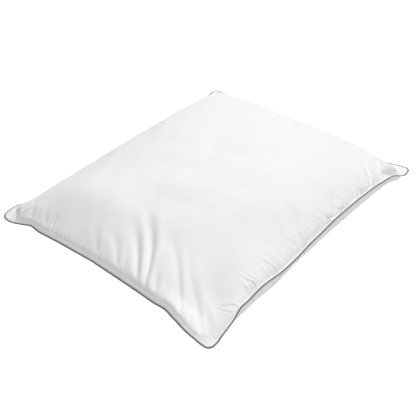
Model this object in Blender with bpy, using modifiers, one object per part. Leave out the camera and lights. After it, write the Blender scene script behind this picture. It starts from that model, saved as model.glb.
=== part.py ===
"""Bed pillow: two cotton panels joined by a corded piping, filled with loose fibre.

Metres, +Z up. The origin is the middle of the resting face, +X runs along the long side.
Every piece is laid out on one flat plan, a rounded rectangle, which plan_point() then
warps to the waisted outline that a filled pillow takes.
"""
import math

import bmesh
import bpy

# Overall form of the filled pillow
LENGTH = 0.582              # cord centre to cord centre, corner to corner along X
WIDTH = 0.482               # the same along Y
CORNER_RADIUS = 0.014
PULL_X = 0.010              # how far the middle of each short side is drawn in
PULL_Y = 0.008              # the same for each long side
SEAM_CORNER_Z = 0.018       # height of the seam at the corners
SEAM_MIDDLE_Z = 0.036       # and at the middle of each side
SEAM_POWER = 5.0
EAR_SHARE = 0.92            # beyond this share of the half sides, a corner is a flat ear
CROWN_HEIGHT = 0.063        # the upper panel above the seam, at the centre
CROWN_POWER = 2.3
CROWN_SOFTNESS = 0.68
BELLY_WIDTH = 0.090         # from the margin in to where the lower panel lies flat
BELLY_POWER = 3.6

# Seam, measured inwards from the cord's centre
GAP = 0.0003
CLOTH = 0.0007
CORD_RADIUS = 0.00075
COVER_RADIUS = 0.0015
COVER_PLY = 0.0004
PLY_GAP = 0.00015           # half the space between the piping's two plies
FLANGE_END = 0.0070
MARGIN_START = 0.0018
MARGIN_END = 0.0073
STITCH_ROW = 0.0060
CLOSING_ROW = 0.0038
THREAD_RADIUS = 0.00025
CLOSING_LENGTH = 0.20
FILL_CLEARANCE = 0.0024

# Care label, sewn under the margin of the short side at +X
LABEL_WIDTH = 0.025
LABEL_THICKNESS = 0.0004
LABEL_Y = 0.110
LABEL_DROP = 0.0260

# Fineness of the rings
CORNER_STEPS = 4
SIDE_STEPS = 11
UPPER_RINGS = (0.03, 0.075, 0.145, 0.245, 0.385, 0.56, 0.77)
LOWER_RINGS = (0.03, 0.075, 0.145, 0.245, 0.40)

HALF_X = LENGTH / 2
HALF_Y = WIDTH / 2
MARGIN_Z = COVER_RADIUS + 0.0001        # a margin's outer face, above or below the cord's centre


def plan_outline(inset):
    """Points once round the flat plan, counter-clockwise, at a distance in from the cord."""
    radius = CORNER_RADIUS - inset
    x_centre = HALF_X - CORNER_RADIUS
    y_centre = HALF_Y - CORNER_RADIUS
    corners = ((x_centre, -y_centre, -90), (x_centre, y_centre, 0),
               (-x_centre, y_centre, 90), (-x_centre, -y_centre, 180))
    arcs = []
    for x, y, start in corners:
        arc = []
        for step in range(CORNER_STEPS + 1):
            angle = math.radians(start + 90 * step / CORNER_STEPS)
            arc.append((x + radius * math.cos(angle), y + radius * math.sin(angle)))
        arcs.append(arc)
    points = []
    for index, arc in enumerate(arcs):
        points += arc
        (x0, y0), (x1, y1) = arc[-1], arcs[(index + 1) % 4][0]
        for step in range(1, SIDE_STEPS):
            part = step / SIDE_STEPS
            points.append((x0 + (x1 - x0) * part, y0 + (y1 - y0) * part))
    return points


def plan_point(x, y):
    """A point of the flat plan, moved to the waisted outline of the filled pillow."""
    u, v = x / HALF_X, y / HALF_Y
    return x - PULL_X * u * (1 - v * v), y - PULL_Y * v * (1 - u * u)


def seam_z(x, y):
    """Height of the seam: low at the flat corners, raised by the filling between them."""
    corner = min(abs(x * y) / (HALF_X * HALF_Y * EAR_SHARE), 1)
    return SEAM_CORNER_Z + (SEAM_MIDDLE_Z - SEAM_CORNER_Z) * (1 - corner ** SEAM_POWER)


def upper_z(x, y, seam=0):
    """Outer face of the upper panel, inside its margin."""
    u = min(abs(x) / (HALF_X - MARGIN_END), 1)
    v = min(abs(y) / (HALF_Y - MARGIN_END), 1)
    swell = ((1 - u ** CROWN_POWER) * (1 - v ** CROWN_POWER)) ** CROWN_SOFTNESS
    return seam_z(x, y) + MARGIN_Z + (CROWN_HEIGHT - MARGIN_Z) * swell


def lower_z(x, y, seam):
    """Outer face of the lower panel: it falls from the margin and then lies flat at zero."""
    u = min((HALF_X - MARGIN_END - abs(x)) / BELLY_WIDTH, 1)
    v = min((HALF_Y - MARGIN_END - abs(y)) / BELLY_WIDTH, 1)
    fall = (1 - (1 - max(u, 0)) ** BELLY_POWER) * (1 - (1 - max(v, 0)) ** BELLY_POWER)
    return (seam - MARGIN_Z) * (1 - fall)


def ring(inset, rise):
    """One closed ring along the seam, at an inset, and at a rise over the cord's centre."""
    heights = [seam_z(x, y) + rise for x, y in plan_outline(0)]
    return [(*plan_point(x, y), z) for (x, y), z in zip(plan_outline(inset), heights)]


def inner_ring(shrink, height, rise=0.0):
    """One closed ring inside the margin, shrunk towards the centre."""
    seam = [seam_z(x, y) for x, y in plan_outline(0)]
    points = []
    for (x, y), z in zip(plan_outline(MARGIN_END), seam):
        x, y = x * (1 - shrink), y * (1 - shrink)
        points.append((*plan_point(x, y), height(x, y, z) + rise))
    return points


def extrude_ring(bm, loop, points):
    """Extrude a loop of edges, and put the new points where they belong, in order."""
    edges = [bm.edges.get((loop[i - 1], loop[i])) for i in range(len(loop))]
    grown = bmesh.ops.extrude_edge_only(bm, edges=edges)["geom"]
    new = {item for item in grown if isinstance(item, bmesh.types.BMVert)}
    following = []
    for vert, point in zip(loop, points):
        other = next(e.other_vert(vert) for e in vert.link_edges if e.other_vert(vert) in new)
        following.append(other)
    for vert, point in zip(following, points):
        vert.co = point
    return following


def first_ring(bm, points):
    """A circle of edges, moved onto its points."""
    verts = bmesh.ops.create_circle(bm, segments=len(points), radius=1, cap_ends=False)["verts"]
    for vert, point in zip(verts, points):
        vert.co = point
    return verts


def close_ring(bm, loop, height):
    """Close the last ring with a fan to a point at the centre."""
    centre = bm.verts.new((0, 0, height))
    for i in range(len(loop)):
        bm.faces.new((loop[i - 1], loop[i], centre))


def add_mesh(name, bm, collection, material):
    bmesh.ops.recalc_face_normals(bm, faces=bm.faces)
    mesh = bpy.data.meshes.new(name)
    bm.to_mesh(mesh)
    bm.free()
    mesh.shade_smooth()
    obj = bpy.data.objects.new(name, mesh)
    obj.data.materials.append(material)
    collection.objects.link(obj)
    return obj


def add_cloth(obj, offset):
    """Give an open surface the thickness of the cloth, on the side away from offset's sign."""
    solid = obj.modifiers.new("cloth thickness", "SOLIDIFY")
    solid.thickness = CLOTH
    solid.offset = offset
    solid.use_even_offset = False
    return obj


def add_tube(name, points, radius, collection, material, closed=True, resolution=2):
    """A round thread or cord along a line of points."""
    curve = bpy.data.curves.new(name, "CURVE")
    curve.dimensions = "3D"
    curve.twist_mode = "Z_UP"
    curve.bevel_depth = radius
    curve.bevel_resolution = resolution
    curve.use_fill_caps = not closed
    spline = curve.splines.new("POLY")
    spline.points.add(len(points) - 1)
    for item, point in zip(spline.points, points):
        item.co = (*point, 1)
    spline.use_cyclic_u = closed
    curve.materials.append(material)
    obj = bpy.data.objects.new(name, curve)
    collection.objects.link(obj)
    return obj


def add_material(name, colour, roughness):
    material = bpy.data.materials.new(name)
    material.use_nodes = True
    shader = material.node_tree.nodes["Principled BSDF"]
    shader.inputs["Base Color"].default_value = (*colour, 1)
    shader.inputs["Roughness"].default_value = roughness
    shader.inputs["Metallic"].default_value = 0
    material.diffuse_color = (*colour, 1)
    return material


def make_upper_panel(collection, material):
    bm = bmesh.new()
    loop = first_ring(bm, ring(MARGIN_START, MARGIN_Z))
    loop = extrude_ring(bm, loop, ring(MARGIN_END, MARGIN_Z))
    for shrink in UPPER_RINGS:
        loop = extrude_ring(bm, loop, inner_ring(shrink, upper_z))
    close_ring(bm, loop, upper_z(0, 0))
    obj = add_mesh("upper_panel", bm, collection, material)
    if obj.data.polygons[-1].normal.z < 0:
        obj.data.flip_normals()
    return add_cloth(obj, -1)


def make_lower_panel(collection, material):
    bm = bmesh.new()
    loop = first_ring(bm, ring(MARGIN_START, -MARGIN_Z))
    loop = extrude_ring(bm, loop, ring(MARGIN_END, -MARGIN_Z))
    for shrink in LOWER_RINGS:
        loop = extrude_ring(bm, loop, inner_ring(shrink, lower_z))
    bm.faces.new(loop)
    obj = add_mesh("lower_panel", bm, collection, material)
    if obj.data.polygons[-1].normal.z > 0:
        obj.data.flip_normals()
    return add_cloth(obj, -1)


def make_fill(collection, material):
    """The mass of fibre, clear of both panels and of the piping's flange."""
    bm = bmesh.new()
    loop = first_ring(bm, inner_ring(LOWER_RINGS[-1], lower_z, FILL_CLEARANCE))
    bm.faces.new(loop)
    for shrink in reversed(LOWER_RINGS[:-1]):
        loop = extrude_ring(bm, loop, inner_ring(shrink, lower_z, FILL_CLEARANCE))
    for shrink in UPPER_RINGS:
        loop = extrude_ring(bm, loop, inner_ring(shrink, upper_z, -FILL_CLEARANCE))
    close_ring(bm, loop, upper_z(0, 0) - FILL_CLEARANCE)
    return add_mesh("fibre_fill", bm, collection, material)


def cover_profile():
    """Section of the piping's cover: a strip folded round the cord, its two plies side by side.

    The first number is the distance inwards from the cord's centre, the second the height.
    """
    ply_top = PLY_GAP + COVER_PLY
    inner_radius = COVER_RADIUS - COVER_PLY
    outer_start = math.asin(ply_top / COVER_RADIUS)
    inner_start = math.asin(PLY_GAP / inner_radius)
    points = [(FLANGE_END, ply_top)]
    for step in range(10):
        angle = outer_start + (2 * math.pi - 2 * outer_start) * step / 9
        points.append((COVER_RADIUS * math.cos(angle), COVER_RADIUS * math.sin(angle)))
    points += [(FLANGE_END, -ply_top), (FLANGE_END, -PLY_GAP)]
    for step in range(9):
        angle = -inner_start - (2 * math.pi - 2 * inner_start) * step / 8
        points.append((inner_radius * math.cos(angle), inner_radius * math.sin(angle)))
    points.append((FLANGE_END, PLY_GAP))
    return points


def make_piping_cover(collection, guides, material):
    """The folded strip, swept once round the seam."""
    section = bpy.data.curves.new("piping_section", "CURVE")
    section.dimensions = "2D"
    spline = section.splines.new("POLY")
    profile = cover_profile()
    spline.points.add(len(profile) - 1)
    for item, (inwards, up) in zip(spline.points, profile):
        item.co = (-inwards, up, 0, 1)
    spline.use_cyclic_u = True
    guide = bpy.data.objects.new("piping_section", section)
    guide.hide_render = True
    guide.display_type = "WIRE"
    guides.objects.link(guide)
    obj = add_tube("piping_cover", ring(0, 0), 0, collection, material)
    obj.data.bevel_mode = "OBJECT"
    obj.data.bevel_object = guide
    return obj


def make_closing_thread(collection, material):
    """Row of stitches that closes the opening through which the pillow was filled."""
    x = HALF_X - CLOSING_ROW
    rise = MARGIN_Z + GAP + THREAD_RADIUS
    points = []
    for step in range(11):
        y = CLOSING_LENGTH * (step / 10 - 0.5)
        points.append((*plan_point(x, y), seam_z(x, y) + rise))
    return add_tube("closing_thread", points, THREAD_RADIUS, collection, material, False, 1)


def make_care_label(collection, material):
    """A blank folded tab: it leaves from under the margin and hangs beside the seam."""
    out = 0.0062
    path = [(0.0054, 0.0), (0.0020, 0.0)]
    for step in range(1, 6):
        angle = math.radians(80 * step / 5)
        path.append((0.0020 - out * math.sin(angle), -out * (1 - math.cos(angle))))
    path.append((path[-1][0] - 0.0008, -LABEL_DROP))
    bm = bmesh.new()
    bmesh.ops.create_grid(bm, x_segments=len(path) - 1, y_segments=2, size=1)
    columns = sorted({round(vert.co.x, 5) for vert in bm.verts})
    for vert in bm.verts:
        inwards, down = path[columns.index(round(vert.co.x, 5))]
        along = LABEL_Y + vert.co.y * LABEL_WIDTH / 2
        x_seam, y_seam = plan_point(HALF_X, along)
        z_top = seam_z(HALF_X, along) - MARGIN_Z - 2 * GAP
        vert.co = (x_seam - inwards, y_seam, z_top + down)
    obj = add_mesh("care_label", bm, collection, material)
    solid = obj.modifiers.new("label thickness", "SOLIDIFY")
    solid.thickness = LABEL_THICKNESS
    solid.offset = -1 if obj.data.polygons[0].normal.z > 0 else 1
    return obj


def main():
    for obj in list(bpy.data.objects):
        bpy.data.objects.remove(obj)
    pillow = bpy.data.collections.new("bed_pillow")
    guides = bpy.data.collections.new("guides")
    bpy.context.scene.collection.children.link(pillow)
    bpy.context.scene.collection.children.link(guides)

    cotton = add_material("white_cotton", (0.90, 0.90, 0.90), 0.85)
    fibre = add_material("white_fibre", (0.88, 0.88, 0.87), 0.95)
    satin = add_material("grey_satin", (0.25, 0.25, 0.26), 0.55)
    core = add_material("cord_core", (0.85, 0.84, 0.80), 0.90)
    thread = add_material("white_thread", (0.88, 0.88, 0.88), 0.60)
    tape = add_material("label_tape", (0.86, 0.86, 0.86), 0.50)

    make_upper_panel(pillow, cotton)
    make_lower_panel(pillow, cotton)
    make_fill(pillow, fibre)
    make_piping_cover(pillow, guides, satin)
    add_tube("piping_cord", ring(0, 0), CORD_RADIUS, pillow, core)
    rise = MARGIN_Z + GAP + THREAD_RADIUS
    add_tube("needle_thread", ring(STITCH_ROW, rise), THREAD_RADIUS, pillow, thread, True, 0)
    add_tube("bobbin_thread", ring(STITCH_ROW, -rise), THREAD_RADIUS, pillow, thread, True, 0)
    make_closing_thread(pillow, thread)
    make_care_label(pillow, tape)


main()
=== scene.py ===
"""Looks of the bed pillow: cloth panels relaxed over their filling, corded piping, stitching.

Metres, in the CAD frame: +Z up, +X along the long side, origin in the middle of the resting
face. Each panel is a flat sheet of cotton, pinned where it is stitched to the piping, that
settles over the filling in a small cloth simulation on a regular grid.
"""
import math

import bpy
import numpy as np
from mathutils import Matrix, Vector


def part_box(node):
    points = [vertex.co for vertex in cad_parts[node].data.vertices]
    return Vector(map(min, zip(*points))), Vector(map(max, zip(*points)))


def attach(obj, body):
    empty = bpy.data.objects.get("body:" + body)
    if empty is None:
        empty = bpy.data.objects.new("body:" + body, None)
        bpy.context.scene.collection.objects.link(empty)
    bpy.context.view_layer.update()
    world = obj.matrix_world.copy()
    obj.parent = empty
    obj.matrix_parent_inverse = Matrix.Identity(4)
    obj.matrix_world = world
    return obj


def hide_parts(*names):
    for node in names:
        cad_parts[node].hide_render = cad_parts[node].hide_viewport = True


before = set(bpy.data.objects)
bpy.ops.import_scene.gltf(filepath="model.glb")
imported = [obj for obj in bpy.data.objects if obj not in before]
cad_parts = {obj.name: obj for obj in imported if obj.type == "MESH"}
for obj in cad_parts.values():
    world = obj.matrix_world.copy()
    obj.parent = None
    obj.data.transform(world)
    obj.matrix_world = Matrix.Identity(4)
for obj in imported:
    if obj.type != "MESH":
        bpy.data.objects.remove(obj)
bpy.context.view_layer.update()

# ---------------------------------------------------------------- sizes
PIPING_RADIUS = 0.0014
piping_low, piping_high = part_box("piping_cover")
HX = (piping_high.x - piping_low.x) / 2 - 0.0003     # the cord's centre line, at the corners
HY = (piping_high.y - piping_low.y) / 2 - 0.0007
CUT = (0.60, 0.50)                  # each panel between its seams, laid flat
ROUND = 0.0115                      # corner radius
STITCH = 0.0054                     # stitch row, in from the cord

CORNER_Z = 0.019                    # height of the seam at the corners and mid-sides
SEAM_Z = {"front": 0.050, "left": 0.0275, "right": 0.022, "back": 0.020}
PULL = {"front": 0.0075, "left": 0.0150, "right": 0.0065, "back": 0.0080}
NECK, NECK_AT, NECK_WIDTH = 0.0016, 0.84, 0.07      # extra pull where each ear begins
FIN = {"front": 0.40, "left": -1.15, "right": 0.30, "back": 0.30}       # the margin's slope
FIN_DEPTH, FIN_REACH = 0.008, 0.035     # how far in the slope goes on, and how far it is felt
CROWN, DOME = 0.0545, 0.0110        # the filling's rise over the seam, and more of it in the middle
CROWN_POWER = 2.9                   # higher is a flatter top
SOFT = {"front": 0.72, "left": 0.66, "right": 0.44, "back": 0.42}       # lower is a fuller edge
BELLY = 0.085                       # how far in the lower panel comes down to the floor
BULGE = {"front": 9.5, "left": 3.0, "right": 6.0, "back": 6.0}        # higher is a steeper drop
FRONT_SAG = 6.0                     # more of that on the front side, towards its left end

# Short gathers across the seam: their height, width along it, reach, and strength on each side
PUCKER, PUCKER_PITCH, PUCKER_REACH = 0.0050, 0.0095, 0.010
PUCKERED = {"front": 1.0, "left": 0.15, "right": 0.15, "back": 0.3}

# Where the filling is fuller or thinner: x, y, half width, height
LUMPS = (
    (-0.150, -0.120, 0.085, -0.0120),
    (-0.225, -0.180, 0.060, -0.0110),
    (-0.200, 0.065, 0.060, 0.0060),
    (-0.210, 0.140, 0.065, 0.0120),
    (-0.100, 0.180, 0.070, -0.0035),
)

# The flat ears: which corner, how far each is flat, as x and y distance from it together, and
# the width of the step up to the body
EARS = ((-1, -1, 0.006, 0.030), (-1, 1, 0.034, 0.016), (1, -1, 0.014, 0.040), (1, 1, 0.024, 0.016))

# Where the seam takes a small tuck: on the cord (x, y), half width, inwards, up, margin's slope
INWARDS, UP, SLOPE = 3, 4, 5
TUCKS = (
    (-0.214, -HY, 0.014, 0.0020, 0.0020, 0.0),
    (-0.240, -HY, 0.024, -0.0030, -0.0020, -0.3),
    (-0.120, -HY, 0.030, -0.0015, -0.0010, 0.0),
    (0.226, -HY, 0.024, 0.0012, 0.0004, 0.0),
    (-HX, 0.173, 0.014, 0.0030, 0.0020, 0.0),
    (-HX, 0.214, 0.020, -0.0030, -0.0020, 0.5),
    (-0.262, HY, 0.026, -0.0030, 0.0050, -0.3),
    (-HX, -0.140, 0.014, 0.0020, 0.0010, 0.0),
    (-HX, -0.200, 0.026, -0.0045, -0.0010, 0.5),
    (HX, 0.170, 0.020, 0.0020, 0.0010, 0.0),
    (HX, -0.185, 0.030, 0.0035, -0.0035, 0.0),
    (0.120, HY, 0.020, 0.0020, 0.0010, 0.0),
    (-0.075, -HY, 0.068, -0.0015, -0.0085, 0.0),
    (0.258, -HY, 0.022, -0.0030, -0.0030, 1.2),
)
LONG_SIDE_TUCKS = [tuck for tuck in TUCKS if abs(tuck[1]) == HY]
SHORT_SIDE_TUCKS = [tuck for tuck in TUCKS if abs(tuck[1]) != HY]

# Rows of a panel's margin: distance in from the cord, and height over the cord's centre
MARGIN_ROWS = ((0.00150, 0.00030), (0.00155, 0.00065), (0.00200, 0.00085),
               (0.00350, 0.00090), (0.00470, 0.00085), (STITCH, 0.00080))

rng = np.random.default_rng(11)
WAVES = [(rng.uniform(0, 2 * math.pi), rng.uniform(0, 2 * math.pi), rng.uniform(0.7, 1.4))
         for _ in range(40)]


# ---------------------------------------------------------------- form of the filled pillow
def smooth(t):
    """A soft step from 0 at t = 0 to 1 at t = 1."""
    t = np.clip(t, 0, 1)
    return t * t * (3 - 2 * t)


def between(u, low, high):
    """Blend from low at u = -1 to high at u = 1."""
    s = smooth((u + 1) / 2)
    return low * (1 - s) + high * s


def noise(x, y, wave, first=0, count=14):
    """Smooth unevenness, as a sum of plane waves of about that wavelength."""
    total = 0
    for heading, phase, rate in WAVES[first:first + count]:
        total = total + np.cos((x * math.cos(heading) + y * math.sin(heading))
                               * 2 * math.pi * rate / wave + phase)
    return total / math.sqrt(count / 2)


def noise_along(t, wave, first=0, count=10):
    """Smooth unevenness along one line."""
    total = 0
    for i, (heading, phase, rate) in enumerate(WAVES[first:first + count]):
        total = total + np.cos(t * 2 * math.pi * rate * (0.6 + 0.12 * i) / wave + phase + heading)
    return total / math.sqrt(count / 2)


def rounded(x, y, hx, hy):
    """Square corners of the plan turned to round ones, ring by ring."""
    a, b = np.abs(x) - (hx - ROUND), np.abs(y) - (hy - ROUND)
    corner = (a > 0) & (b > 0)
    a, b = np.where(corner, a, 1.0), np.where(corner, b, 1.0)
    k = np.maximum(a, b) / np.hypot(a, b)
    return (np.where(corner, np.sign(x) * (hx - ROUND + a * k), x),
            np.where(corner, np.sign(y) * (hy - ROUND + b * k), y))


def tucked(x, y, value, tucks=TUCKS):
    """What the tucks together add to one of their values at a point."""
    return sum(tuck[value] * np.exp(-((x - tuck[0]) ** 2 + (y - tuck[1]) ** 2) / tuck[2] ** 2)
               for tuck in tucks)


def waist(x, y):
    """The flat plan drawn in along its sides, most in the middle and again beside the ears."""
    u, v = x / HX, y / HY
    uneven = 0.0003 * noise(x, y, 0.10, 20)
    dx = (between(u, PULL["left"], PULL["right"]) * np.abs(u) ** 1.5 * (1 - v * v)
          + (NECK * np.exp(-((np.abs(v) - NECK_AT) / NECK_WIDTH) ** 2) + uneven) * np.abs(u) ** 8)
    dy = (between(v, PULL["front"], PULL["back"]) * np.abs(v) ** 1.5 * (1 - np.abs(u) ** 3)
          + (NECK * np.exp(-((np.abs(u) - NECK_AT) / NECK_WIDTH) ** 2) + uneven) * np.abs(v) ** 8)
    dx = dx + tucked(x, y, INWARDS, SHORT_SIDE_TUCKS)
    dy = dy + tucked(x, y, INWARDS, LONG_SIDE_TUCKS)
    return x - np.sign(u) * dx, y - np.sign(v) * dy


def along_sides(x, y):
    """How far a place is from the nearest corner, counted along both sides of it."""
    return HX - np.abs(x) + HY - np.abs(y)


def seam_height(x, y):
    """Height of the cord's centre, and of the margin inside it, which slopes down from the cord
    where FIN is positive and up where it is negative."""
    u, v = np.clip(x / HX, -1, 1), np.clip(y / HY, -1, 1)
    along_v = 1 - np.minimum(np.abs(v) / 0.93, 1) ** 5
    along_u = 1 - np.minimum(np.abs(u) / 0.93, 1) ** 4.2
    at_x = CORNER_Z + (between(u, SEAM_Z["left"], SEAM_Z["right"]) - CORNER_Z) * along_v
    at_y = CORNER_Z + (between(v, SEAM_Z["front"], SEAM_Z["back"]) - CORNER_Z) * along_u
    to_x, to_y = 1 - u * u + 1e-6, 1 - v * v + 1e-6
    height = (at_x * to_y + at_y * to_x) / (to_x + to_y)
    fin = (between(u, FIN["left"], FIN["right"]) * to_y
           + between(v, FIN["front"], FIN["back"]) * to_x) / (to_x + to_y) + tucked(x, y, SLOPE)
    height = height + tucked(x, y, UP)
    inset = np.maximum(np.minimum(HX - np.abs(x), HY - np.abs(y)), 0)
    off_ears = smooth((along_sides(x, y) - 0.020) / 0.025)
    sloped = np.clip(inset, PIPING_RADIUS, FIN_DEPTH) - PIPING_RADIUS
    height = height - fin * off_ears * sloped * np.exp(-(inset / FIN_REACH) ** 2)
    return height + 0.0004 * noise(x, y, 0.085) * np.exp(-inset / 0.03)


# Folds: foot (x, y), heading in degrees, length, sideways bend, half width, depth
FOLDS = (
    (-0.279, -0.072, 45, 0.125, 0.004, 0.0062, 0.0036),
    (-0.279, -0.090, 42, 0.160, 0.010, 0.0066, 0.0042),
    (-0.279, -0.167, 48, 0.160, 0.004, 0.0056, 0.0025),
    (-0.279, -0.214, 53, 0.150, 0.000, 0.0056, 0.0017),
    (-0.256, -0.222, 60, 0.100, 0.000, 0.0075, -0.0012),
    (-0.279, -0.114, 42, 0.062, 0.000, 0.0060, 0.0020),
    (-0.279, -0.190, 46, 0.060, 0.000, 0.0036, 0.0016),
    (-0.279, -0.026, 49, 0.070, 0.003, 0.0052, 0.0016),
    (-0.279, 0.020, 45, 0.050, 0.000, 0.0050, 0.0010),
    (-0.279, 0.145, 40, 0.045, 0.000, 0.0045, 0.0007),
    (-0.279, 0.180, 38, 0.055, 0.000, 0.0045, 0.0010),
    (-0.270, 0.214, 330, 0.036, 0.002, 0.0030, 0.0028),
    (-0.055, -0.232, 57, 0.110, 0.006, 0.0085, 0.0026),
    (-0.050, -0.232, 127, 0.030, 0.000, 0.0035, 0.0016),
    (-0.100, -0.232, 62, 0.035, 0.000, 0.0045, 0.0016),
    (-0.128, -0.232, 85, 0.028, 0.000, 0.0035, 0.0008),
    (-0.166, -0.232, 55, 0.022, 0.000, 0.0032, 0.0007),
    (-0.191, -0.232, 61, 0.020, 0.000, 0.0030, 0.0006),
    (0.052, -0.232, 47, 0.060, 0.003, 0.0050, 0.0020),
    (0.068, -0.232, 70, 0.030, 0.000, 0.0036, 0.0012),
    (0.112, -0.232, 52, 0.034, 0.000, 0.0040, 0.0013),
    (0.166, -0.230, 46, 0.085, 0.000, 0.0036, 0.0017),
    (0.268, -0.230, 176, 0.060, 0.000, 0.0032, 0.0130),
    (0.271, -0.222, 134, 0.058, 0.000, 0.0036, 0.0045),
    (0.226, -0.229, 68, 0.048, 0.000, 0.0030, 0.0040),
    (0.080, 0.228, 245, 0.055, 0.000, 0.0060, 0.0014),
    (-0.090, 0.228, 300, 0.050, 0.000, 0.0060, 0.0014),
    (0.279, 0.060, 200, 0.050, 0.000, 0.0060, 0.0014),
    (0.279, -0.110, 160, 0.060, 0.000, 0.0060, 0.0016),
    (0.268, 0.220, 222, 0.060, 0.000, 0.0050, 0.0018),
)


def folds(x, y):
    """Each fold is a valley with a high ridge on its right and a low one on its left."""
    total = np.zeros_like(x)
    for foot_x, foot_y, heading, reach, bend, width, depth in FOLDS:
        c, s = math.cos(math.radians(heading)), math.sin(math.radians(heading))
        p = (x - foot_x) * c + (y - foot_y) * s
        q = -(x - foot_x) * s + (y - foot_y) * c
        t = p / reach
        q = q + bend * np.sin(np.clip(t, 0, 1) * math.pi)
        w = width * (0.8 + 0.7 * np.clip(t, 0, 1.2))
        fade = smooth((t + 0.08) / 0.2) * (1 - smooth((t - 0.4) / 0.6))
        total += fade * depth * (-np.exp(-(q / w) ** 2)
                                 + 0.6 * np.exp(-((q + 1.9 * w) / (1.2 * w)) ** 2)
                                 + 0.35 * np.exp(-((q - 2.1 * w) / (1.4 * w)) ** 2))
    return total


def puckers(x, y):
    """Short gathers across the seam, where the stitching has drawn the cloth in."""
    total = 0
    for along, across, half, first, near, far in ((x, y, HY, 0, "front", "back"),
                                                  (y, x, HX, 13, "left", "right")):
        inset = half - STITCH - np.abs(across)
        leaning = along + 0.3 * inset * noise_along(along, 0.09, first + 7) + np.sign(across) * 0.4
        gathers = 0.4 - np.clip(noise_along(leaning, PUCKER_PITCH, first), 0, 1.5) ** 2
        strength = np.clip(0.8 + 0.7 * noise_along(along, 0.06, first + 4), 0, 1.5)
        strength = strength * np.where(across < 0, PUCKERED[near], PUCKERED[far])
        total = total + gathers * strength * np.exp(-inset / PUCKER_REACH) * smooth(inset / 0.0020)
    return PUCKER * total * smooth((along_sides(x, y) - 0.050) / 0.085)


def lumps(x, y):
    """What the uneven filling adds to the height."""
    return sum(height * np.exp(-((x - at_x) ** 2 + (y - at_y) ** 2) / size ** 2)
               for at_x, at_y, size, height in LUMPS)


def body_share(x, y):
    """From 0 on the flat ears to 1 on the filled body."""
    share = 1
    ragged = 0.0020 * noise(x, y, 0.024, 9)
    for side_x, side_y, flat, step in EARS:
        share = share * smooth((HX - side_x * x + HY - side_y * y - flat + ragged) / step)
    return share


def upper_surface(x, y):
    """Height that the filling gives the top panel over a point of the plan."""
    u = np.clip(np.abs(x) / (HX - STITCH), 0, 1)
    v = np.clip(np.abs(y) / (HY - STITCH), 0, 1)
    swell = ((1 - u ** CROWN_POWER) ** between(x / HX, SOFT["left"], SOFT["right"])
             * (1 - v ** CROWN_POWER) ** between(y / HY, SOFT["front"], SOFT["back"]))
    inside = np.minimum(HX - STITCH - np.abs(x), HY - STITCH - np.abs(y))
    rise = CROWN + DOME * (1 - u * u) * (1 - v * v)
    return (seam_height(x, y) + 0.0008 + rise * swell * body_share(x, y)
            + smooth(inside / 0.03) * (0.0009 * noise(x, y, 0.11) + 0.00022 * noise(x, y, 0.040, 7))
            + smooth(inside / 0.008) * folds(x, y) + smooth(inside / 0.03) * lumps(x, y)
            + puckers(x, y))


def lower_surface(x, y):
    """Height of the underside, which comes down from the seam to the floor."""
    u = np.clip((HX - STITCH - np.abs(x)) / BELLY, 0, 1)
    v = np.clip((HY - STITCH - np.abs(y)) / BELLY, 0, 1)
    front = BULGE["front"] + FRONT_SAG * smooth((-0.05 - x) / 0.10)
    fall = ((1 - (1 - u) ** between(x / HX, BULGE["left"], BULGE["right"]))
            * (1 - (1 - v) ** between(y / HY, front, BULGE["back"])))
    return (seam_height(x, y) - 0.0008) * (1 - fall)


# ---------------------------------------------------------------- cloth simulation
GATHER, GATHER_REACH = 0.016, 0.018     # extra cloth that the seam takes in, and how far it shows
CLOSER = 0.25                           # how much closer the grid is at the seams
SHAPED = {"upper": 0.95, "lower": 0.90}     # how far each panel has taken its filling's shape


def grid_lines(half, cells):
    """Lines of a grid across a panel: the rows of each margin, and cells between the stitching."""
    inner = np.linspace(-1, 1, cells + 1)
    inner = (half - STITCH) * (inner + CLOSER * np.sin(inner * math.pi) / math.pi)
    rows = np.array([half - inset for inset, _ in MARGIN_ROWS[:-1]])
    return np.concatenate([-rows, inner, rows[::-1]])


def length(a):
    """Lengths of the vectors whose components are the rows of a."""
    return np.sqrt((a * a).sum(0))


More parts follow.
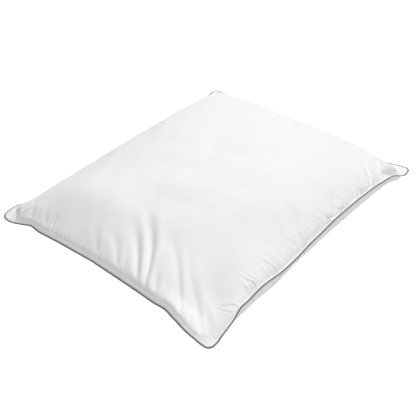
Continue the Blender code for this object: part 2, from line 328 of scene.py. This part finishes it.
class Panel:
    """One panel as a grid of points: where they are, and how far apart the cloth keeps them."""

    def __init__(self, cells, upper):
        self.cells, self.upper = cells, upper
        x, y = np.meshgrid(grid_lines(HX, cells[0]), grid_lines(HY, cells[1]), indexing="ij")
        inset = np.minimum(HX - np.abs(x), HY - np.abs(y))
        x, y = rounded(x, y, HX, HY)
        insets, rises = np.array(MARGIN_ROWS).T
        rise = np.interp(inset, insets, rises)
        # the margin isn't pressed quite flat between the cord and the stitches
        rise = rise + 0.00012 * noise(x, y, 0.012) * smooth((inset - 0.0016) / 0.002)
        pinned = inset <= STITCH + 1e-6
        surface = upper_surface(x, y) if upper else lower_surface(x, y)
        margin = seam_height(x, y) + (rise if upper else -rise)
        self.target = np.where(pinned, margin, surface).astype(np.float32)
        self.free = np.where(pinned, 0, 1).astype(np.float32)
        self.support = (0.8 + 0.2 * smooth((inset - STITCH) / 0.035)).astype(np.float32)
        self.points = np.stack([*waist(x, y), self.target]).astype(np.float32)
        self.start = self.points.copy()
        half = [side / 2 for side in CUT]
        lines = [grid_lines(half[axis], cells[axis]) for axis in (0, 1)]
        a, b = np.meshgrid(*lines, indexing="ij")
        self.flat = np.stack(rounded(a, b, *half)).astype(np.float32)
        self.set_lengths(x, y)

    def set_lengths(self, x, y):
        """Lengths of cloth between neighbours: part as cut, part as the filling has shaped it."""
        take_x = (self.gather(x, 0) * np.exp(-(HY - STITCH + y) / GATHER_REACH)
                  + self.gather(x, 5) * np.exp(-(HY - STITCH - y) / GATHER_REACH))
        take_y = (self.gather(y, 10) * np.exp(-(HX - STITCH + x) / GATHER_REACH)
                  + self.gather(y, 15) * np.exp(-(HX - STITCH - x) / GATHER_REACH))
        shaped = SHAPED["upper" if self.upper else "lower"]
        whole, start, end = slice(None), slice(None, -1), slice(1, None)
        for name, one, two, taken in (
                ("along_x", (start, whole), (end, whole), take_x),
                ("along_y", (whole, start), (whole, end), take_y),
                ("rising", (start, start), (end, end), (take_x + take_y) / 2),
                ("falling", (start, end), (end, start), (take_x + take_y) / 2)):
            cut = length(self.flat[(whole, *two)] - self.flat[(whole, *one)])
            formed = length(self.start[(whole, *two)] - self.start[(whole, *one)])
            rest = (cut + shaped * (formed - cut)) * (1 + (taken[one] + taken[two]) / 2)
            setattr(self, name, rest.astype(np.float32))

    @staticmethod
    def gather(t, first):
        return GATHER * (1 + 0.9 * noise_along(t, 0.10, first))

    def take_over(self, coarse):
        """Carry a coarser grid's movement over to this one."""
        moved = coarse.points - coarse.start
        for axis, half in ((1, HX), (2, HY)):
            old = grid_lines(half, coarse.cells[axis - 1])
            new = grid_lines(half, self.cells[axis - 1])
            place = np.clip(np.searchsorted(old, new) - 1, 0, len(old) - 2)
            part = (new - old[place]) / (old[place + 1] - old[place])
            moved = np.moveaxis(moved, axis, -1)
            moved = moved[..., place] * (1 - part) + moved[..., place + 1] * part
            moved = np.moveaxis(moved, -1, axis)
        self.points = (self.points + moved * self.free).astype(np.float32)


def keep_length(points, free, a, b, rest, stiffness):
    """Move pairs of neighbouring points until they are their length of cloth apart."""
    one, two = points[(slice(None),) + a], points[(slice(None),) + b]
    gap = two - one
    size = length(gap) + 1e-12
    share = free[a] + free[b]
    pull = stiffness * (size - rest) / (size * np.maximum(share, 1e-6))
    one += gap * (pull * free[a])
    two -= gap * (pull * free[b])


def settle(panel, steps, bending, push=0.03, hold=0.012, shear=0.3, damping=0.9):
    """Relax the cloth over the filling, which pushes it out firmly and holds it back lightly."""
    points, free = panel.points, panel.free
    before = points.copy()
    n, m = free.shape
    every = slice(None)
    for _ in range(steps):
        speed = (points - before) * damping
        before[...] = points
        points += speed * free
        short = panel.target - points[2]
        outwards = short > 0 if panel.upper else short < 0
        points[2] += np.where(outwards, push, hold) * short * free * panel.support
        for _ in range(2):
            for c in (0, 1):
                keep_length(points, free, (slice(c, n - 1, 2), every), (slice(c + 1, n, 2), every),
                            panel.along_x[c::2], 1.0)
                keep_length(points, free, (every, slice(c, m - 1, 2)), (every, slice(c + 1, m, 2)),
                            panel.along_y[:, c::2], 1.0)
            for c in (0, 1):
                one, two = slice(c, n - 1, 2), slice(c + 1, n, 2)
                low, high = slice(0, m - 1), slice(1, m)
                keep_length(points, free, (one, low), (two, high), panel.rising[c::2], shear)
                keep_length(points, free, (one, high), (two, low), panel.falling[c::2], shear)
        bent = np.zeros_like(points)
        bent[:, 2:-2] += (points[:, :-4] - 4 * points[:, 1:-3] + 6 * points[:, 2:-2]
                          - 4 * points[:, 3:-1] + points[:, 4:])
        bent[:, :, 2:-2] += (points[:, :, :-4] - 4 * points[:, :, 1:-3] + 6 * points[:, :, 2:-2]
                             - 4 * points[:, :, 3:-1] + points[:, :, 4:])
        points -= bending * bent * free
        if not panel.upper:
            np.maximum(points[2], 0, out=points[2])


def simulate(upper):
    """Settle one panel on three grids, each about twice as fine as the last."""
    # cells along each side, steps, resistance to bending
    stages = [((96, 80), 300, 0.020), ((190, 160), 300, 0.020), ((380, 320), 160, 0.006)]
    panel = None
    shake = np.random.default_rng(3)
    for cells, steps, bending in stages:
        finer = Panel(cells, upper)
        if panel is None:
            # a slight unevenness to start from, so that slack cloth has a way to fold
            jolt = shake.standard_normal(finer.target.shape) * 0.0004
            finer.points[2] += (jolt * finer.free).astype(np.float32)
        else:
            finer.take_over(panel)
        panel = finer
        settle(panel, steps, bending)
    return panel


# ---------------------------------------------------------------- the seam, by length along it
SIDE_X, SIDE_Y, ARC = 2 * (HX - ROUND), 2 * (HY - ROUND), math.pi / 2 * ROUND
STARTS = np.cumsum([0, SIDE_X, ARC, SIDE_Y, ARC, SIDE_X, ARC, SIDE_Y, ARC])
ROUND_TRIP = STARTS[-1]


def outline(s, inset):
    """Plan point at a length s along the cord from the front left, at a distance in from it."""
    s = np.mod(s, ROUND_TRIP)
    part = np.clip(np.searchsorted(STARTS, s, side="right") - 1, 0, 7)
    quarter = part // 2
    f = s - STARTS[part]
    centres = np.array([(1, -1), (1, 1), (-1, 1), (-1, -1)]) * (HX - ROUND, HY - ROUND)
    begin = np.array([(-1, -1), (1, -1), (1, 1), (-1, 1)]) * (HX - ROUND, HY - ROUND)
    out = np.array([(0, -1), (1, 0), (0, 1), (-1, 0)])
    ahead = np.array([(1, 0), (0, 1), (-1, 0), (0, -1)])
    angle = (quarter * 90 - 90) * math.pi / 180 + f / ROUND
    arc_out = np.stack([np.cos(angle), np.sin(angle)], -1)
    straight = (part % 2 == 0)[..., None]
    reach = ROUND - np.broadcast_to(inset, s.shape)[..., None]
    on_side = begin[quarter] + ahead[quarter] * f[..., None] + out[quarter] * reach
    on_arc = centres[quarter] + arc_out * reach
    return np.where(straight, on_side, on_arc)


def seam_point(s, inset, rise):
    """Points beside the seam in space: rise is the height over the cord's centre."""
    x, y = np.moveaxis(outline(s, inset), -1, 0)
    return np.stack([*waist(x, y), seam_height(x, y) + rise], -1)


# ---------------------------------------------------------------- making meshes
def new_object(name, verts, faces, material, smooth_shading=True):
    mesh = bpy.data.meshes.new(name)
    mesh.from_pydata(np.asarray(verts, float).tolist(), [], [list(f) for f in faces])
    mesh.validate()
    if smooth_shading:
        mesh.shade_smooth()
    mesh.materials.append(material)
    obj = bpy.data.objects.new(name, mesh)
    bpy.context.scene.collection.objects.link(obj)
    return obj


def store(obj, name, values):
    """Keep a vector for each point, for the material to read."""
    layer = obj.data.attributes.new(name, "FLOAT_VECTOR", "POINT")
    layer.data.foreach_set("vector", np.ascontiguousarray(values, np.float32).ravel())


def grid_faces(rows, columns, wrap_rows=False, wrap_columns=False):
    index = np.arange(rows * columns).reshape(rows, columns)
    if wrap_rows:
        index = np.concatenate([index, index[:1]])
    if wrap_columns:
        index = np.concatenate([index, index[:, :1]], 1)
    corners = [index[:-1, :-1], index[1:, :-1], index[1:, 1:], index[:-1, 1:]]
    return np.stack(corners, -1).reshape(-1, 4)


def panel_object(name, panel, material):
    n, m = panel.free.shape
    faces = grid_faces(n, m)
    if not panel.upper:
        faces = faces[:, ::-1]
    obj = new_object(name, panel.points.reshape(3, -1).T, faces, material)
    flat = panel.flat.reshape(2, -1).T
    store(obj, "cloth", np.column_stack([flat, np.zeros(len(flat))]))
    return obj


def filling_object(upper, lower, material):
    """The fibre mass, just inside the two panels and short of the stitching."""
    skip = len(MARGIN_ROWS) + 3
    step = 4
    gap = 0.0015
    verts, faces = [], []
    for panel, inwards in ((upper, -gap), (lower, gap)):
        points = panel.points[:, skip:-skip:step, skip:-skip:step].copy()
        points[2] += inwards
        n, m = points.shape[1:]
        quads = grid_faces(n, m) if panel.upper else grid_faces(n, m)[:, ::-1]
        faces += [list(quad + n * m * len(verts)) for quad in quads]
        verts.append(points.reshape(3, -1).T)
    index = np.arange(n * m).reshape(n, m)
    rim = np.concatenate([index[:, 0], index[-1, 1:], index[-2::-1, -1], index[0, -2:0:-1]])
    for a, b in zip(rim, np.roll(rim, -1)):
        faces.append([b, a, a + n * m, b + n * m])
    return new_object("filling", np.concatenate(verts), faces, material)


def swept_ring(name, section, spacing, material):
    """A closed section, as (inwards, up) from the cord's centre, swept once round the seam."""
    count = int(ROUND_TRIP / spacing)
    s = np.arange(count) * ROUND_TRIP / count
    section = np.asarray(section)
    verts = seam_point(s[:, None] + 0 * section[None, :, 0], section[None, :, 0] + 0 * s[:, None],
                       section[None, :, 1])
    around = np.arctan2(section[:, 1], -section[:, 0]) * PIPING_RADIUS
    obj = new_object(name, verts.reshape(-1, 3),
                     grid_faces(count, len(section), True, True)[:, ::-1], material)
    store(obj, "cloth", np.stack([np.broadcast_to(s[:, None], verts.shape[:2]),
                                  np.broadcast_to(around, verts.shape[:2]),
                                  np.zeros(verts.shape[:2])], -1).reshape(-1, 3))
    return obj


def stitch_row(name, starts, reach, inset, rise, thread, material, below=False, slant=0.0):
    """Single stitches: each leaves the cloth, lies along it and goes back in."""
    sides, rings = 6, 7
    t = np.linspace(0, 1, rings)
    lift = rise + thread * (1.15 * np.sin(t * math.pi) ** 0.5 - 0.95)
    s = starts[:, None] + (t * reach)[None, :]
    side = inset + slant * (t - 0.5)[None, :] + 0 * s
    path = seam_point(s, side, (-lift if below else lift)[None, :] + 0 * s)
    ahead = np.gradient(path, axis=1)
    ahead /= np.linalg.norm(ahead, axis=2, keepdims=True)
    across = np.cross(np.array([0, 0, 1.0]), ahead)
    across /= np.linalg.norm(across, axis=2, keepdims=True)
    up = np.cross(ahead, across)
    angles = np.linspace(0, 2 * math.pi, sides, endpoint=False)
    thick = thread * (0.55 + 0.45 * np.sin(t * math.pi) ** 0.4)
    sideways = (np.cos(angles) * thick[:, None])[None, ..., None]
    upwards = (np.sin(angles) * thick[:, None])[None, ..., None]
    verts = path[:, :, None] + across[:, :, None] * sideways + up[:, :, None] * upwards
    tube = grid_faces(rings, sides, False, True)
    faces = []
    per = rings * sides
    caps = [list(range(sides - 1, -1, -1)), list(range(per - sides, per))]
    for i in range(len(starts)):
        faces += (tube + i * per).tolist()
        faces += [[v + i * per for v in cap] for cap in caps]
    return new_object(name, verts.reshape(-1, 3), faces, material)


# ---------------------------------------------------------------- materials
def nodes_of(name):
    """A new material, its node tree and its shader."""
    material = bpy.data.materials.new(name)
    material.use_nodes = True
    tree = material.node_tree
    return material, tree, tree.nodes["Principled BSDF"]


def math_node(tree, operation, a, b=None, c=None):
    """A Math node: each of a, b and c is a number or the output of another node."""
    item = tree.nodes.new("ShaderNodeMath")
    item.operation = operation
    for socket, value in zip(item.inputs, (a, b, c)):
        if value is None:
            continue
        if isinstance(value, (int, float)):
            socket.default_value = value
        else:
            tree.links.new(value, socket)
    return item.outputs[0]


def cloth_coordinates(tree):
    """A point's place on its piece laid flat, which store() kept on the mesh."""
    source = tree.nodes.new("ShaderNodeAttribute")
    source.attribute_name = "cloth"
    split = tree.nodes.new("ShaderNodeSeparateXYZ")
    tree.links.new(source.outputs["Vector"], split.inputs[0])
    return source.outputs["Vector"], split.outputs["X"], split.outputs["Y"]


def waves(tree, value, pitch):
    return math_node(tree, "SINE", math_node(tree, "MULTIPLY", value, 2 * math.pi / pitch))


def noise_node(tree, vector, scale, stretch=None, detail=3.0, roughness=0.5):
    if stretch:
        mapping = tree.nodes.new("ShaderNodeMapping")
        mapping.inputs["Scale"].default_value = stretch
        tree.links.new(vector, mapping.inputs["Vector"])
        vector = mapping.outputs[0]
    item = tree.nodes.new("ShaderNodeTexNoise")
    item.inputs["Scale"].default_value = scale
    item.inputs["Detail"].default_value = detail
    item.inputs["Roughness"].default_value = roughness
    tree.links.new(vector, item.inputs["Vector"])
    return item.outputs["Fac"]


def bump(tree, height, distance, strength, under=None):
    item = tree.nodes.new("ShaderNodeBump")
    item.inputs["Distance"].default_value = distance
    item.inputs["Strength"].default_value = strength
    tree.links.new(height, item.inputs["Height"])
    if under is not None:
        tree.links.new(under, item.inputs["Normal"])
    return item.outputs["Normal"]


def ramp_colour(tree, value, dark, light, low=0.35, high=0.65):
    item = tree.nodes.new("ShaderNodeValToRGB")
    item.color_ramp.elements[0].position, item.color_ramp.elements[1].position = low, high
    item.color_ramp.elements[0].color = (*dark, 1)
    item.color_ramp.elements[1].color = (*light, 1)
    tree.links.new(value, item.inputs[0])
    return item.outputs[0]


def cotton_material():
    """Fine plain-weave cotton: thread crossings, slubs both ways, and a soft pressed crumple."""
    material, tree, shader = nodes_of("cotton")
    vector, x, y = cloth_coordinates(tree)
    pitch = 0.00034
    weave = math_node(tree, "MULTIPLY", waves(tree, x, pitch), waves(tree, y, pitch))
    slub_x = noise_node(tree, vector, 1.0, (140, 2600, 1), 2.0)
    slub_y = noise_node(tree, vector, 1.0, (2600, 140, 1), 2.0)
    slubs = math_node(tree, "ADD", slub_x, slub_y)
    crumple = noise_node(tree, vector, 55, None, 4.0, 0.55)
    normal = bump(tree, crumple, 0.0016, 0.35)
    normal = bump(tree, slubs, 0.00010, 0.5, normal)
    normal = bump(tree, weave, 0.00004, 0.6, normal)
    tree.links.new(normal, shader.inputs["Normal"])
    tone = math_node(tree, "MULTIPLY", slubs, 0.5)
    colour = ramp_colour(tree, tone, (0.835, 0.835, 0.835), (0.865, 0.865, 0.865), 0.3, 0.7)
    tree.links.new(colour, shader.inputs["Base Color"])
    rough = math_node(tree, "MULTIPLY_ADD", crumple, 0.12, 0.78)
    tree.links.new(rough, shader.inputs["Roughness"])
    shader.inputs["Specular IOR Level"].default_value = 0.25
    shader.inputs["Sheen Weight"].default_value = 0.12
    shader.inputs["Sheen Roughness"].default_value = 0.5
    return material


def satin_material():
    """Grey bias strip: fine diagonal satin floats and soft twist creases along the cord."""
    material, tree, shader = nodes_of("grey_satin_strip")
    vector, s, around = cloth_coordinates(tree)
    diagonal = math_node(tree, "ADD", s, around)
    floats = waves(tree, diagonal, 0.00045)
    creases = noise_node(tree, vector, 1.0, (420, 160, 1), 3.0)
    normal = bump(tree, creases, 0.00030, 0.5)
    normal = bump(tree, floats, 0.00005, 0.6, normal)
    tree.links.new(normal, shader.inputs["Normal"])
    # Painted shade and sheen: the strip's colour is lighter on the raised crests of the creases and
    # floats and darker in their hollows, following the same heights as the bumps
    tone = math_node(tree, "MULTIPLY_ADD", floats, 0.08, 0.5)
    tone = math_node(tree, "ADD", tone, math_node(tree, "MULTIPLY", creases, 0.4))
    colour = ramp_colour(tree, tone, (0.125, 0.126, 0.130), (0.190, 0.191, 0.196), 0.45, 0.95)
    tree.links.new(colour, shader.inputs["Base Color"])
    shader.inputs["Roughness"].default_value = 0.42
    shader.inputs["Specular IOR Level"].default_value = 0.5
    shader.inputs["Sheen Weight"].default_value = 0.25
    shader.inputs["Anisotropic"].default_value = 0.5
    return material


def thread_material():
    """White sewing thread, with its twist."""
    material, tree, shader = nodes_of("sewing_thread")
    source = tree.nodes.new("ShaderNodeTexCoord")
    split = tree.nodes.new("ShaderNodeSeparateXYZ")
    tree.links.new(source.outputs["Object"], split.inputs[0])
    twist = math_node(tree, "ADD", split.outputs["X"], split.outputs["Y"])
    twist = waves(tree, math_node(tree, "ADD", twist, split.outputs["Z"]), 0.0005)
    tree.links.new(bump(tree, twist, 0.00006, 0.6), shader.inputs["Normal"])
    # Painted shade: the thread's colour is darker in the grooves of its twist and lighter on its
    # ridges, following the bump
    colour = ramp_colour(tree, math_node(tree, "MULTIPLY_ADD", twist, 0.5, 0.5),
                         (0.74, 0.74, 0.74), (0.86, 0.86, 0.86), 0.1, 0.9)
    tree.links.new(colour, shader.inputs["Base Color"])
    shader.inputs["Roughness"].default_value = 0.45
    shader.inputs["Sheen Weight"].default_value = 0.2
    return material


def fibre_material():
    """Loose tufts of white fibre."""
    material, tree, shader = nodes_of("fibre")
    source = tree.nodes.new("ShaderNodeTexCoord")
    tufts = noise_node(tree, source.outputs["Object"], 140, None, 8.0, 0.7)
    tree.links.new(bump(tree, tufts, 0.003, 0.8), shader.inputs["Normal"])
    # Painted shade: the fibre's colour is darker in the hollows between the tufts and lighter on
    # them, following the bump; the slight warm tint is the fibre's own
    tree.links.new(ramp_colour(tree, tufts, (0.78, 0.78, 0.77), (0.90, 0.90, 0.89)),
                   shader.inputs["Base Color"])
    shader.inputs["Roughness"].default_value = 0.95
    return material


def core_material():
    """Plain twisted cotton cord."""
    material, tree, shader = nodes_of("cord_core")
    _, s, around = cloth_coordinates(tree)
    turned = math_node(tree, "ADD", s, math_node(tree, "MULTIPLY", around, 1.8))
    strands = waves(tree, turned, 0.0016)
    tree.links.new(bump(tree, strands, 0.00025, 0.8), shader.inputs["Normal"])
    # Painted shade: the cord's colour is darker in the grooves between its strands and lighter on
    # them, following the bump
    shade = math_node(tree, "MULTIPLY_ADD", strands, 0.5, 0.5)
    tree.links.new(ramp_colour(tree, shade, (0.70, 0.68, 0.62), (0.86, 0.84, 0.79), 0, 1),
                   shader.inputs["Base Color"])
    shader.inputs["Roughness"].default_value = 0.9
    return material


def label_material():
    """Blank woven satin tape with a faint rib across it."""
    material, tree, shader = nodes_of("label_tape")
    vector, _, y = cloth_coordinates(tree)
    ribs = waves(tree, y, 0.0005)
    tree.links.new(bump(tree, ribs, 0.00005, 0.6), shader.inputs["Normal"])
    grain = noise_node(tree, vector, 1.0, (300, 2500, 1), 2.0)
    tree.links.new(ramp_colour(tree, grain, (0.80, 0.80, 0.80), (0.88, 0.88, 0.88)),
                   shader.inputs["Base Color"])
    shader.inputs["Roughness"].default_value = 0.4
    shader.inputs["Sheen Weight"].default_value = 0.2
    return material


# ---------------------------------------------------------------- the pieces
cotton, satin, thread = cotton_material(), satin_material(), thread_material()
upper, lower = simulate(True), simulate(False)
top_cloth = panel_object("top_cloth", upper, cotton)
under_cloth = panel_object("under_cloth", lower, cotton)
filling = filling_object(upper, lower, fibre_material())

# Piping: a strip folded round the cord, its two plies running in between the margins
CORE_RADIUS, PLY_INSET, PLY_RISE, OPENING = 0.0010, 0.0052, 0.0003, math.radians(162)


def arc_round_cord(radius, angles):
    return [(-radius * math.cos(a), radius * math.sin(a)) for a in angles]


section = arc_round_cord(PIPING_RADIUS, np.linspace(-OPENING, OPENING, 13))
section += [(PLY_INSET, PLY_RISE), (PLY_INSET, -PLY_RISE)]
piping = swept_ring("piping", section, 0.0020, satin)
core_section = arc_round_cord(CORE_RADIUS, np.linspace(0, 2 * math.pi, 8, False))
core = swept_ring("piping_core", core_section, 0.0040, core_material())

# Topstitching: one row right round, seen on both faces
STITCH_LENGTH, STITCH_RISE, THREAD = 0.0030, 0.00095, 0.00024
ON_CLOTH = 0.84 * STITCH_LENGTH     # how much of a stitch lies on the cloth
count = int(ROUND_TRIP / STITCH_LENGTH)
starts = np.arange(count) * ROUND_TRIP / count
top_row = stitch_row("top_stitches", starts, ON_CLOTH, STITCH, STITCH_RISE, THREAD, thread)
under_row = stitch_row("under_stitches", starts + STITCH_LENGTH / 2, ON_CLOTH, STITCH,
                       STITCH_RISE, THREAD, thread, True)

# Closing row: where the pillow was filled, in the middle of the short side at +X
CLOSING_LENGTH, CLOSING_ON_CLOTH, CLOSING_INSET, CLOSING_RISE = 0.0028, 0.0022, 0.0035, 0.00150
MIDDLE_RIGHT = SIDE_X + ARC + SIDE_Y / 2
closing_starts = MIDDLE_RIGHT + np.arange(-36, 37) * CLOSING_LENGTH
closing = stitch_row("closing_stitches", closing_starts, CLOSING_ON_CLOTH, CLOSING_INSET,
                     CLOSING_RISE, THREAD, thread, False, 0.0007)


def label_object(material):
    """Blank tape, caught under the margin, that bends over the piping and hangs down."""
    s_label = MIDDLE_RIGHT + 0.110
    across = np.linspace(-0.0125, 0.0125, 13)
    out, drop, parts = 0.0050, 0.0260, 8
    # Its route as (inwards, up) from the cord's centre: in the seam, over the bend, then down
    path = [(0.0056, -0.00175), (0.0040, -0.0019), (0.0020, -0.0021)]
    bend_in, bend_up = path[-1]
    for step in range(1, parts + 1):
        angle = math.radians(84 * step / parts)
        path.append((bend_in - out * math.sin(angle), bend_up - out * (1 - math.cos(angle))))
    end_in, end_up = path[-1]
    for step in range(1, parts + 1):
        f = step / parts
        path.append((end_in - 0.011 * f ** 2.5, end_up - (drop - out) * 0.62 * f ** 0.85))
    inset, rise = np.array(path).T
    s = s_label + across[:, None] + 0 * inset[None, :]
    verts = seam_point(s, 0.0, 0.0)
    inwards = seam_point(s, 0.001, 0.0) - verts
    inwards[..., 2] = 0
    inwards /= np.linalg.norm(inwards, axis=2, keepdims=True)
    curl = 0.0006 * np.sin(across * 190)[:, None] * smooth(-rise / drop)[None, :]
    verts = verts + inwards * (inset[None, :] + curl)[..., None]
    verts[..., 2] += rise
    obj = new_object("label", verts.reshape(-1, 3), grid_faces(len(across), len(path)), material)
    travel = np.concatenate([[0], np.cumsum(np.hypot(np.diff(inset), np.diff(rise)))])
    store(obj, "cloth", np.stack([np.broadcast_to(across[:, None], s.shape),
                                  np.broadcast_to(travel, s.shape), 0 * s], -1).reshape(-1, 3))
    tape = obj.modifiers.new("two plies", "SOLIDIFY")
    tape.thickness = 0.0005
    tape.offset = 0
    return obj, travel[-1]


label, label_length = label_object(label_material())

for piece, cad_node, slot_name in (
        (top_cloth, "upper_panel", "white_cotton"), (under_cloth, "lower_panel", "white_cotton"),
        (filling, "fibre_fill", "white_fibre"), (piping, "piping_cover", "grey_satin"),
        (core, "piping_cord", "cord_core"), (top_row, "needle_thread", "white_thread"),
        (under_row, "bobbin_thread", "white_thread"), (closing, "closing_thread", "white_thread"),
        (label, "care_label", "label_tape")):
    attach(piece, "root")
    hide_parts(cad_node)

# ---------------------------------------------------------------- floor, light and camera
floor_material, tree, shader = nodes_of("studio_floor")
shader.inputs["Base Color"].default_value = (0.90, 0.90, 0.90, 1)
shader.inputs["Roughness"].default_value = 0.9
shader.inputs["Emission Color"].default_value = (1, 1, 1, 1)
seen = tree.nodes.new("ShaderNodeLightPath").outputs["Is Camera Ray"]
glow = math_node(tree, "MULTIPLY_ADD", seen, 0.60, 0.20)    # the sweep is lit to white
tree.links.new(glow, shader.inputs["Emission Strength"])
SWEEP, SWEEP_Z = 8, -0.0004         # half the sweep's width, and its height under the pillow
corners = [(x * SWEEP, y * SWEEP, SWEEP_Z) for x, y in ((-1, -1), (1, -1), (1, 1), (-1, 1))]
floor = new_object("studio_floor", corners, [(0, 1, 2, 3)], floor_material, False)

world = bpy.data.worlds.new("studio")
bpy.context.scene.world = world
world.use_nodes = True
backdrop = world.node_tree.nodes["Background"]
backdrop.inputs["Color"].default_value = (1, 1, 1, 1)
seen = world.node_tree.nodes.new("ShaderNodeLightPath").outputs["Is Camera Ray"]
glow = math_node(world.node_tree, "MULTIPLY_ADD", seen, 0.55, 0.01)    # pale grey above the sweep
world.node_tree.links.new(glow, backdrop.inputs["Strength"])


def softbox(name, azimuth, elevation, power, distance=3.6, size=2.2):
    """A square softbox, aimed at the pillow; azimuth 0 is on +X and 90 on +Y."""
    a, e = math.radians(azimuth), math.radians(elevation)
    place = Vector((math.cos(a) * math.cos(e), math.sin(a) * math.cos(e), math.sin(e))) * distance
    light = bpy.data.lights.new(name, "AREA")
    light.size, light.energy = size, power
    obj = bpy.data.objects.new(name, light)
    bpy.context.scene.collection.objects.link(obj)
    obj.location = place
    obj.rotation_euler = (-place).to_track_quat("-Z", "Y").to_euler()


softbox("back_key", 35, 36, 80)
softbox("front_key", 248, 66, 113)

# Camera: bearing and pitch of the view, a little roll, and the aim moved off the middle
LENS, PITCH, BEARING, ROLL, DISTANCE = 66.2, 37.92, 48.40, -1.40, 1.394
AIM_RIGHT, AIM_UP = -0.0099, -0.0286
pitch, bearing, roll = (math.radians(a) for a in (PITCH, BEARING, ROLL))
ahead = Vector((0, math.cos(pitch), -math.sin(pitch)))
level = Vector((1, 0, 0))
upright = level.cross(ahead)
right = level * math.cos(roll) + upright * math.sin(roll)
above = upright * math.cos(roll) - level * math.sin(roll)
turn = Matrix.Rotation(-bearing, 3, "Z")
camera = bpy.data.objects.new("camera", bpy.data.cameras.new("camera"))
bpy.context.scene.collection.objects.link(camera)
camera.data.lens = LENS
camera.data.sensor_width = 36
axes = turn @ Matrix((right, above, -ahead)).transposed()
place = turn @ (right * AIM_RIGHT + above * AIM_UP - ahead * DISTANCE) + Vector((0, 0, CORNER_Z))
camera.matrix_world = Matrix.Translation(place) @ axes.to_4x4()
bpy.context.scene.camera = camera
bpy.context.scene.view_settings.view_transform = "Standard"
